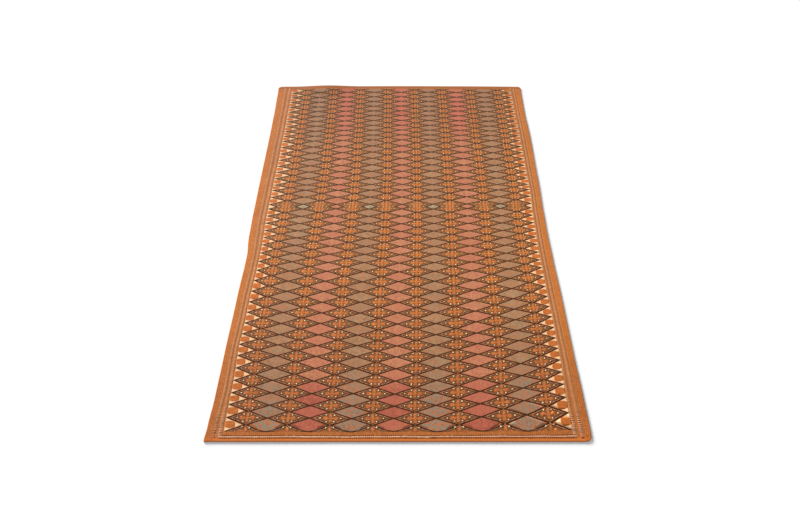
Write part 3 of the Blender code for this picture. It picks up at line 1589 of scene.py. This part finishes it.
@dataclass
class OrnamentDiamonds(SubAssembly):
    """The columns of ornamented diamonds: outline, field, tan stitches, cross and cream dots."""

    tip: float = 74.0 * MM
    shoulder: float = 3.0 * MM
    short_shoulder: float = 41.0 * MM
    blunt_from: int = 12
    blunt_half: Pair = (6.0 * MM, 4.2 * MM)
    base_half: Pair = (30 * MM, 1.7 * MM)
    base_curve: float = 2.2 * MM
    base_drop: float = 0.9 * MM
    base_taper: float = 0.6
    outline_half: float = 2.9 * MM
    short_outline_half: float = 4.3 * MM
    short_dot_place: float = 31 * MM
    outline_relief: Relief = Relief(foot=3.2 * MM, top=3.95 * MM, lean=0.12, crown=0.3)
    field_relief: Relief = Relief(foot=3.0 * MM, top=3.55 * MM, lean=0.02, crown=0.05)
    stitch_relief: Relief = Relief(foot=3.3 * MM, top=3.8 * MM, lean=0.1, crown=0.2)
    stitches: int = 4
    stitch_drop: float = 4.7 * MM
    stitch_half: float = 1.35 * MM
    stitch_share: float = 0.465
    least_rise: float = 0.5 * MM
    inner_drop: float = 7.8 * MM
    inner_half: float = 1.1 * MM
    inner_beyond: float = 3 * MM
    inner_relief: Relief = Relief(foot=3.2 * MM, top=3.75 * MM, lean=0.1, crown=0.2)
    bar_half: Pair = (20.5 * MM, 5.8 * MM)
    bar_waist: float = 0.66
    arm_half: Pair = (26 * MM, 8.2 * MM)
    arm_waist: float = 0.34
    short_arm_scale: Pair = (0.8, 1)
    cross_relief: Relief = Relief(foot=3.2 * MM, top=3.68 * MM, lean=0.03, crown=0.04)
    spot_half: Pair = (4.6 * MM, 8.5 * MM)
    spot_relief: Relief = Relief(foot=3.3 * MM, top=3.85 * MM, lean=0.1)
    spot_columns: tuple[int, ...] = (-6, -2, 2, 6)
    dot_half: Pair = (3.0 * MM, 3.1 * MM)
    base_dot_lift: float = 6 * MM
    dot_growth: float = 0.12
    dot_relief: Relief = Relief(foot=3.4 * MM, top=4.15 * MM, lean=0.3)
    ring_half: Pair = (4.2 * MM, 4.4 * MM)
    ring_relief: Relief = Relief(foot=3.3 * MM, top=3.72 * MM, lean=0.1)
    dot_places: tuple[Pair, ...] = (
        (13.6 * MM, 14.6 * MM),
        (-13.6 * MM, 14.6 * MM),
        (13.6 * MM, -14.6 * MM),
        (-13.6 * MM, -14.6 * MM),
        (37.0 * MM, 0.0),
        (-37.0 * MM, 0.0),
    )

    def centres(self) -> list[Pair]:
        """List the middles of the ornamented diamonds, column by column."""
        return [(column * COLUMN, row * ROW) for column in range(-7, 8, 2) for row in range(ROWS + 1)]

    @property
    def steepness(self) -> float:
        """How far the outline rises for each metre across."""
        return (ROW / 2) / (self.tip - self.shoulder)

    @staticmethod
    def beside_short(y: float, end: int) -> bool:
        """Tell whether the far end (1) or near end (-1) of a diamond centred on y is in the short row."""
        return round(y / ROW) + (end - 1) // 2 == SHORT_ROW

    def strips(
        self,
        name: str,
        start: Pair,
        stop: Pair,
        half_height: float,
        cells: int,
        relief: Relief,
    ) -> dict[tuple[int, int], Mesh]:
        """Make the same strip in each quarter of a diamond.

        Args:
            name: A name for the meshes.
            start: Where it starts in the quarter of positive X and Y.
            stop: Where it stops there.
            half_height: Half its height along the rug.
            cells: How many cells it has along its length.
            relief: How it stands in the cloth.

        Returns:
            The strips, by the signs of their quarters.
        """
        strips = {}
        for side, end in QUARTERS:
            ends = ((side * start[0], end * start[1]), (side * stop[0], end * stop[1]))
            strips[side, end] = self.shop.strip(name, ends, half_height, cells, relief)
        return strips

    def arms(self, shoulder: float, half_height: float) -> dict[tuple[int, int], Mesh]:
        """Make the four arms of an outline, which end a shoulder from the diamond's middle."""
        start, stop = (self.tip + 0.5 * MM, 0), (shoulder - 0.5 * MM, ROW / 2)
        return self.strips("outline_arm", start, stop, half_height, 6, self.outline_relief)

    def outlines(self) -> Piece:
        """Make the dark outlines.

        Returns:
            The finished piece.
        """
        piece = self.makings.piece("dark_lattice", DARK, seed=21)
        usual = self.arms(self.shoulder, self.outline_half)
        short = self.arms(self.short_shoulder, self.short_outline_half)
        for x, y in self.centres():
            for (side, end), arm in usual.items():
                chosen = short[side, end] if self.beside_short(y, end) else arm
                piece.stamp(chosen, x, y, stray=0.35 * MM, grow=0.006)
        self.blunt_tips(piece)
        piece.cut_ends()
        self.base_lines(piece)
        return piece.lay()

    def blunt_tips(self, piece: Brocade) -> None:
        """Thicken the tips that meet the border, in the farther rows.

        Args:
            piece: The piece of the outlines.
        """
        tip = self.shop.dome("blunt_tip", self.blunt_half, 8, self.outline_relief)
        for side in (-1, 1):
            for row in range(self.blunt_from, ROWS):
                x = side * (LATTICE_COLUMNS * COLUMN - self.blunt_half[0] - 1 * MM)
                piece.stamp(tip, x, row * ROW, stray=0.8 * MM, grow=0.12)

    def base_lines(self, piece: Brocade) -> None:
        """Close the outline under each plain diamond of the first row.

        Args:
            piece: The piece of the outlines.
        """
        half_length, half_height = self.base_half

        def place(a: float, b: float) -> Pair:
            """Place a point of a thin line that curves up and tapers at its ends."""
            rise = self.base_curve * a * a - self.base_drop
            return half_length * a, rise + half_height * b * (1 - self.base_taper * a * a)

        line = self.shop.slab("base_line", (10, 2), self.outline_relief, place, corded=True)
        for column in range(-6, 7, 2):
            piece.stamp(line, column * COLUMN, 0, stray=0.4 * MM, grow=0.04)

    def inner_lines(self, piece: Brocade) -> None:
        """Add the thin dark line that runs inside each outline.

        Args:
            piece: The piece that they go into.
        """
        start = self.tip - self.inner_drop / self.steepness - self.inner_beyond
        stop_y, start_y = (
            (self.tip - x) * self.steepness - self.inner_drop for x in (self.shoulder, start)
        )
        places = ((start, start_y), (self.shoulder, stop_y))
        lines = self.strips("inner_line", *places, self.inner_half, 2, self.inner_relief)
        for x, y in self.centres():
            for (_, end), line in lines.items():
                if not self.beside_short(y, end):
                    piece.stamp(line, x, y, stray=0.4 * MM, grow=0.01)

    def fields(self) -> Piece:
        """Make the olive brown fields inside the outlines.

        Returns:
            The finished piece.
        """
        piece = self.makings.piece("brown_fields", FIELD, seed=22)
        half = (self.tip, self.tip * self.steepness)

        def place(a: float, b: float) -> Pair:
            """Place a point of a diamond whose top and bottom are cut off."""
            y = half[1] * (a + b) / 2
            return half[0] * (a - b) / 2, max(min(y, ROW / 2), -ROW / 2)

        def short_place(a: float, b: float) -> Pair:
            """Place a point of the ground between two narrow diamonds of the short row."""
            reach = self.short_shoulder + (self.tip - self.short_shoulder) * abs(b)
            return a * reach, b * ROW / 2

        motif = self.shop.slab("field", (6, 6), self.field_relief, place)
        short_relief = Relief(self.field_relief.foot, self.field_relief.top + 0.03 * MM, 0.0, 0.0)
        short = self.shop.slab("short_field", (6, 6), short_relief, short_place)
        for x, y in self.centres():
            piece.stamp(motif, x, y)
            if self.beside_short(y, 1):
                piece.stamp(short, x, y + ROW / 2)
        piece.cut_ends()
        return piece.lay()

    def tan_stitches(self) -> Piece:
        """Make the running line of tan stitches inside each outline.

        Returns:
            The finished piece.
        """
        piece = self.makings.piece("tan_stitches", TAN, seed=23)
        length = (self.tip - self.shoulder) / self.stitches
        reach = self.stitch_share * length
        rise = reach * self.steepness
        motifs = {
            (side, end): self.shop.slab(
                "tan_stitch",
                (1, 1),
                self.stitch_relief,
                lambda a, b, s=side, e=end: (s * a * reach, b * self.stitch_half - e * a * rise),
            )
            for side, end in QUARTERS
        }
        for x, y in self.centres():
            for (side, end), motif in motifs.items():
                if self.beside_short(y, end):
                    continue
                for stitch in range(self.stitches):
                    out = self.shoulder + length * (stitch + 0.5)
                    up = (self.tip - out) * self.steepness - self.stitch_drop
                    if up > self.least_rise:
                        piece.stamp(motif, x + side * out, y + end * up, stray=0.35 * MM, grow=0.05)
        piece.cut_ends()
        return piece.lay()

    def crosses(self) -> Piece:
        """Make the orange crosses.

        Returns:
            The finished piece.
        """
        piece = self.makings.piece("orange_crosses", CROSS, seed=24)
        shop = self.shop
        sideways = self.flared(self.arm_half, self.arm_waist)
        arms = shop.slab("cross_arms", (14, 2), self.cross_relief, sideways)
        flared = self.flared(self.bar_half, self.bar_waist)

        def upright(a: float, b: float) -> Pair:
            """Place a point of the upright bar, which is flared the same way."""
            along, across = flared(b, a)
            return across, along

        bar = shop.slab("cross_bar", (2, 10), self.cross_relief, upright)
        for x, y in self.centres():
            piece.stamp(bar, x, y, stray=0.5 * MM, grow=0.04)
            piece.stamp(arms, x, y, stray=0.6 * MM, grow=0.05)
        spot = shop.dome("centre_spot", self.spot_half, 8, self.spot_relief)
        for column in self.spot_columns:
            piece.stamp(spot, column * COLUMN, (SHORT_ROW + 0.5) * ROW, stray=0.6 * MM)
        for x, y in self.centres():
            if self.beside_short(y, 1):
                piece.stamp(bar, x, y + ROW / 2, stray=0.5 * MM, grow=0.04)
                piece.stamp(arms, x, y + ROW / 2, self.short_arm_scale, stray=0.5 * MM, grow=0.04)
        piece.cut_ends()
        return piece.lay()

    @staticmethod
    def flared(half: Pair, waist: float) -> Callable[[float, float], Pair]:
        """Shape a pair of arms that are narrow at their waist and round at their ends.

        Args:
            half: Half the length and half the width of the pair.
            waist: The share of the width that they keep at their waist.

        Returns:
            The function that places a point of the pair.
        """
        flare_start, flare_span = 0.34, 0.25
        round_start, round_depth = 0.7, 0.75

        def place(a: float, b: float) -> Pair:
            """Place a point of the arms.

            Args:
                a: Where it is along the pair, from -1 to 1.
                b: Where it is across the pair, from -1 to 1.

            Returns:
                Its place on the design.
            """
            wide = waist + (1 - waist) * held((abs(a) - flare_start) / flare_span)
            beyond = max((abs(a) - round_start) / (1 - round_start), 0)
            return half[0] * a, half[1] * b * wide * math.sqrt(1 - beyond**2 * round_depth)

        return place

    def dots(self) -> tuple[Piece, Piece]:
        """Make the cream dots, and the umber rings and inner lines around them.

        Returns:
            The dots and the umber piece.
        """
        dots = self.makings.piece("cream_dots", CREAM, seed=25)
        rings = self.makings.piece("umber_details", UMBER, seed=26)
        self.inner_lines(rings)
        shop = self.shop
        dot = shop.dome("cream_dot", self.dot_half, 8, self.dot_relief)
        ring = shop.dome("dark_ring", self.ring_half, 8, self.ring_relief)
        for x in (column * COLUMN for column in range(-OUTER_COLUMN, OUTER_COLUMN + 1, 2)):
            for side in (-1, 1):
                dots.stamp(dot, x + side * self.short_dot_place, (SHORT_ROW + 0.5) * ROW, stray=1.5 * MM)
        for x, y in self.centres():
            for off_x, off_y in self.dot_places:
                stray_x, stray_y = (dots.chance.uniform(-0.9 * MM, 0.9 * MM) for _ in range(2))
                lift = self.base_dot_lift if y == 0 and off_y > 0 else 0
                place = (x + off_x + stray_x, y + off_y + stray_y + lift)
                growth = self.dot_growth * y / (ROWS * ROW)
                dots.stamp(dot, *place, scale=(1 + growth, 1 + 2 * growth), grow=0.15)
                rings.stamp(ring, *place, grow=0.1)
        dots.cut_ends()
        rings.cut_ends()
        return dots.lay(), rings.lay()

    def build(self) -> list[Piece]:
        """Make every part of the ornamented diamonds."""
        return [self.outlines(), self.fields(), self.tan_stitches(), self.crosses(), *self.dots()]


@dataclass
class ToothBorder(SubAssembly):
    """The row of ivory points and orange leaves along each side of the lattice."""

    half_width: float = 57.0 * MM
    half_height: float = 26.0 * MM
    relief: Relief = Relief(foot=3.1 * MM, top=3.65 * MM, lean=0.015, crown=0.06)
    short_scale: Pair = (0.47, 0.88)
    beyond: float = 2.5 * MM
    leaf_beyond: float = 4.0 * MM
    leaf_length: float = 35 * MM
    leaf_half: float = 15.6 * MM
    leaf_relief: Relief = Relief(foot=3.3 * MM, top=3.72 * MM, lean=0.02, crown=0.02)
    leaf_butt: float = 0.64
    leaf_tip: Pair = (0.84, 2.8)
    leaf_shrink: float = 0.2
    shrink_from: int = 12
    shrink_rows: int = 12

    def points(self) -> Piece:
        """Make the ivory points.

        Returns:
            The finished piece.
        """
        piece = self.makings.piece("ivory_points", IVORY, seed=31)
        half = (self.half_width, self.half_height)
        motif = self.shop.diamond("ivory_point", half, 6, self.relief)
        edge = LATTICE_COLUMNS * COLUMN
        for side in (-1, 1):
            for row in range(ROWS):
                scale = self.short_scale if row == SHORT_ROW else (1, 1)
                piece.stamp(motif, side * edge, (row + 0.5) * ROW, scale, stray=0.4 * MM)
        piece.cut((edge + self.beyond, 0), (1, 0))
        piece.cut((-edge - self.beyond, 0), (-1, 0))
        piece.cut_ends()
        return piece.lay()

    def leaves(self) -> Piece:
        """Make the orange leaves.

        Returns:
            The finished piece.
        """
        piece = self.makings.piece("orange_leaves", LEAF, seed=32)

        def place(a: float, b: float) -> Pair:
            """Place a point of an egg-shaped leaf whose narrower end points outwards.

            Args:
                a: Where it is along the leaf, from -1 to 1.
                b: Where it is across the leaf, from -1 to 1.

            Returns:
                Its place, measured from the middle of the point that the leaf lies on.
            """
            share = (a + 1) / 2
            swell = math.sin(math.pi / 2 * min(2 * share, 1))
            half = self.leaf_half * (self.leaf_butt + (1 - self.leaf_butt) * swell)
            depth, power = self.leaf_tip
            half *= math.sqrt(1 - depth * max(2 * share - 1, 0) ** power)
            return self.leaf_beyond - (self.leaf_length + self.leaf_beyond) * share, half * b

        motif = self.shop.slab("orange_leaf", (10, 4), self.leaf_relief, place)
        edge = LATTICE_COLUMNS * COLUMN
        for side in (-1, 1):
            for row in range(ROWS):
                if row == SHORT_ROW:
                    continue
                shrink = self.leaf_shrink * held((row - self.shrink_from) / self.shrink_rows)
                shrink = shrink if side < 0 else 0
                scale = (side * (1 - shrink), 1)
                piece.stamp(motif, side * edge, (row + 0.5) * ROW, scale, stray=0.7 * MM, grow=0.04)
        piece.cut_ends()
        return piece.lay()

    def build(self) -> list[Piece]:
        """Make both parts of the border."""
        return [self.points(), self.leaves()]


@dataclass(frozen=True)
class DashStripe:
    """A narrow stripe of dashes: how far out from the lattice it runs, and its share of dark ones."""

    left: float
    right: float
    left_flare: float
    right_flare: float
    dark_share: float

    def out(self, side: int, y: float) -> float:
        """Find how far out from the lattice the stripe runs, which grows towards the near end.

        Args:
            side: The side of the rug, as a sign of X.
            y: A place along the design.

        Returns:
            The distance.
        """
        place, flare, rows = self.left, self.left_flare, 3
        if side > 0:
            place, flare, rows = self.right, self.right_flare, 9
        return place + flare * held(1 - y / (rows * ROW))


@dataclass
class DashStripes(SubAssembly):
    """The two narrow stripes of pale, pink and umber dashes in each border."""

    stripes: tuple[DashStripe, ...] = (
        DashStripe(9.5 * MM, 8.0 * MM, 3.5 * MM, 1.4 * MM, dark_share=0.35),
        DashStripe(26.5 * MM, 23.0 * MM, 6.0 * MM, 6.6 * MM, dark_share=0.8),
    )
    pitch: float = 6.6 * MM
    near_gap: float = 24 * MM
    far_gap: float = 8 * MM
    half: Pair = (6.2 * MM, 1.7 * MM)
    relief: Relief = Relief(foot=3.2 * MM, top=3.62 * MM, lean=0.1, crown=0.1)

    def build(self) -> list[Piece]:
        """Make the dashes.

        Returns:
            The pale, the umber and the pink piece.
        """
        pale = self.makings.piece("pale_dashes", PALE_DASH, seed=41)
        umber = self.makings.piece("umber_dashes", UMBER_DASH, seed=42)
        pink = self.makings.piece("pink_dashes", PINK, seed=43)
        start, end = NEAR_Y + self.near_gap, FAR_Y - self.far_gap
        dash = self.shop.block("dash", self.half, (2, 1), self.relief)
        for stripe in self.stripes:
            for side in (-1, 1):
                for number in range(int((end - start) / self.pitch)):
                    y = start + (number + 0.25) * self.pitch
                    x = side * (LATTICE_COLUMNS * COLUMN + stripe.out(side, y))
                    pale.stamp(dash, x, y, stray=0.4 * MM, grow=0.12)
                    other = umber if umber.chance.random() < stripe.dark_share else pink
                    other.stamp(dash, x, y + self.pitch / 2, stray=0.4 * MM, grow=0.12)
        return [pale.lay(), umber.lay(), pink.lay()]


@dataclass
class EndLines(SubAssembly):
    """The twined line of white and pink across the near end, between two dark dotted lines."""

    reach: float = 606 * MM
    pitch: float = 7.0 * MM
    twist_y: float = NEAR_Y + 17.5 * MM
    upper_y: float = NEAR_Y + 22.2 * MM
    lower_y: float = NEAR_Y + 12.0 * MM
    twist_half: float = 1.9 * MM
    slant: float = 2.2 * MM
    sway: float = 0.9 * MM
    layered_from: float = 120 * MM
    layer: float = 1.15 * MM
    change_chance: float = 0.12
    thick_chance: float = 0.2
    upper_chance: float = 0.85
    dotted_runs: tuple[Pair, ...] = (
        (-600 * MM, -565 * MM),
        (-520 * MM, -405 * MM),
        (-325 * MM, -225 * MM),
        (-145 * MM, -65 * MM),
        (-45 * MM, 10 * MM),
        (245 * MM, 345 * MM),
        (440 * MM, 606 * MM),
    )
    outer_places: Pair = (-623.5 * MM, 622.0 * MM)
    relief: Relief = Relief(foot=3.2 * MM, top=3.95 * MM, lean=0.1, crown=0.25)
    dot_relief: Relief = Relief(foot=3.2 * MM, top=3.85 * MM, lean=0.1, crown=0.2)

    def places(self) -> list[float]:
        """List the places of the stitches across the rug."""
        return [-self.reach + (n + 0.5) * self.pitch for n in range(int(2 * self.reach / self.pitch))]

    def slanted(self, a: float, b: float) -> Pair:
        """Place a point of a slanted stitch."""
        return a * self.pitch * 0.36 + b * self.slant, b * self.twist_half

    def twine(self, white: Brocade, pink: Brocade) -> None:
        """Add the twined line: slanted stitches on the left, two straight layers on the right.

        Args:
            white: The white piece.
            pink: The pink piece.
        """
        shop = self.shop
        stitch = shop.slab("twine_stitch", (2, 2), self.relief, self.slanted)
        half = (self.pitch * 0.5, self.layer)
        straight = shop.block("straight_stitch", half, (2, 2), self.relief)
        mixed = True
        for number, x in enumerate(self.places()):
            y = self.twist_y + self.sway * math.sin(x * 31) * math.sin(x * 13 + 1)
            if white.chance.random() < self.change_chance:
                mixed = not mixed
            if x > self.layered_from:
                white.stamp(straight, x, y + self.layer, scale=(1, 0.9), stray=0.15 * MM, grow=0.04)
                pink.stamp(straight, x, y - self.layer, scale=(1, 0.8), stray=0.15 * MM, grow=0.04)
                continue
            first = white if mixed or number % 5 else pink
            first.stamp(stitch, x - self.pitch / 4, y, stray=0.2 * MM, grow=0.06)
            other = pink if mixed else white
            other.stamp(stitch, x + self.pitch / 4, y, stray=0.2 * MM, grow=0.06, lower=0.15 * MM)
        outer = shop.block("outer_dash", (5.5 * MM, 1.8 * MM), (2, 2), self.relief)
        for x in self.outer_places:
            pink.stamp(outer, x, self.twist_y, stray=0.3 * MM)

    def dark_lines(self, dark: Brocade) -> None:
        """Add the dark stitches above and below the twined line.

        Args:
            dark: The dark piece.
        """
        shop = self.shop
        run, thin, dot = (
            shop.block("end_stitch", half, (1, 1), self.dot_relief)
            for half in ((self.pitch * 0.51, 1.6 * MM), (self.pitch * 0.51, 0.8 * MM), (2.0 * MM, 1.7 * MM))
        )
        for x in self.places():
            if any(low < x < high for low, high in self.dotted_runs):
                dark.stamp(dot, x, self.lower_y, stray=0.25 * MM, grow=0.08)
                dark.stamp(dot, x, self.upper_y + 0.4 * MM, stray=0.25 * MM, grow=0.08)
                continue
            lower = run if dark.chance.random() < self.thick_chance else thin
            dark.stamp(lower, x, self.lower_y + 0.7 * MM, stray=0.3 * MM, grow=0.05)
            if dark.chance.random() < self.upper_chance:
                dark.stamp(thin, x, self.upper_y - 0.4 * MM, stray=0.25 * MM, grow=0.1)
        dark.stamp(run, self.outer_places[1], self.lower_y - 0.5 * MM, scale=(1.3, 1))

    def build(self) -> list[Piece]:
        """Make the three lines.

        Returns:
            The white, the pink and the dark piece.
        """
        white = self.makings.piece("white_twine", TWINE, seed=51)
        pink = self.makings.piece("pink_twine", ROSE, seed=52)
        dark = self.makings.piece("dark_end_stitches", DARK, seed=53)
        self.twine(white, pink)
        self.dark_lines(dark)
        return [white.lay(), pink.lay(), dark.lay()]


@dataclass
class Studio:
    """The pale floor, the soft lights and the camera."""

    floor_size: float = 30.0
    floor_colour: Dye = (240, 240, 241)
    floor_drift: float = 1.01
    camera_place: tuple[float, float, float] = (0.0038, -3.0048, 2.3575)
    camera_pitch: float = 41.0187
    lens: float = 38.903
    sensor: float = 36.0
    sky: float = 0.50
    key: float = 0.68
    key_rise: float = 12.5
    key_softness: float = 15.0
    key_heading: Pair = (0.55, -0.84)

    def floor(self) -> None:
        """Lay the floor, whose tone drifts a little."""
        bm = bmesh.new()
        bmesh.ops.create_grid(bm, x_segments=4, y_segments=4, size=self.floor_size / 2)
        mesh = bpy.data.meshes.new("pale_floor")
        bm.to_mesh(mesh)
        bm.free()
        material = bpy.data.materials.new("pale_floor_paint")
        material.use_nodes = True
        wiring = Wiring(material.node_tree)
        shader = material.node_tree.nodes["Principled BSDF"]
        place = wiring.node("ShaderNodeTexCoord").outputs["Object"]
        tone = wiring.ramp(wiring.noise(place, 3, 2), 0.3, 0.7)
        shade = linear(*self.floor_colour)
        light = (*(value * self.floor_drift for value in shade[:3]), 1.0)
        wiring.feed(shader.inputs["Base Color"], wiring.mix(tone, shade, light))
        shader.inputs["Roughness"].default_value = 0.9
        shader.inputs["Specular IOR Level"].default_value = 0.0
        mesh.materials.append(material)
        floor = bpy.data.objects.new("pale_floor", mesh)
        bpy.context.scene.collection.objects.link(floor)

    def lights(self) -> None:
        """Light the scene from all round, with one low soft light from behind on the left."""
        world = bpy.data.worlds.new("studio_world")
        world.use_nodes = True
        background = world.node_tree.nodes["Background"]
        background.inputs["Color"].default_value = (1.0, 1.0, 1.0, 1.0)
        background.inputs["Strength"].default_value = self.sky
        bpy.context.scene.world = world
        data = bpy.data.lights.new("key_light", "SUN")
        rise = math.radians(self.key_rise)
        data.energy = self.key * math.pi / math.sin(rise)
        data.angle = math.radians(self.key_softness)
        lamp = bpy.data.objects.new("key_light", data)
        heading = Vector((*self.key_heading, 0)).normalized() * math.cos(rise)
        lamp.rotation_euler = (heading - Vector((0, 0, math.sin(rise)))).to_track_quat("-Z", "Y").to_euler()
        bpy.context.scene.collection.objects.link(lamp)

    def camera(self) -> None:
        """Set up the camera at the photograph's angle."""
        data = bpy.data.cameras.new("photo_camera")
        data.lens = self.lens
        data.sensor_width = self.sensor
        data.clip_end = 100.0
        camera = bpy.data.objects.new("photo_camera", data)
        camera.location = self.camera_place
        camera.rotation_euler = Euler((math.radians(90 - self.camera_pitch), 0, 0))
        bpy.context.scene.collection.objects.link(camera)
        bpy.context.scene.camera = camera

    def build(self) -> None:
        """Set up the whole studio."""
        bpy.context.scene.view_settings.view_transform = "Standard"
        self.camera()
        self.floor()
        self.lights()


def main() -> None:
    """Build the rug's pieces in order."""
    logging.basicConfig(level=logging.INFO, format="%(name)s %(message)s")
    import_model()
    Studio().build()
    makings = Makings(WeavePlan(), ShaderGroups(), MotifShop())
    cloth = GroundCloth(makings).build()
    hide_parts("kilim_rug")
    brocade = []
    for kind in (PlainDiamonds, OrnamentDiamonds, ToothBorder, DashStripes, EndLines):
        brocade += kind(makings).build()


if __name__ == "__main__":
    main()
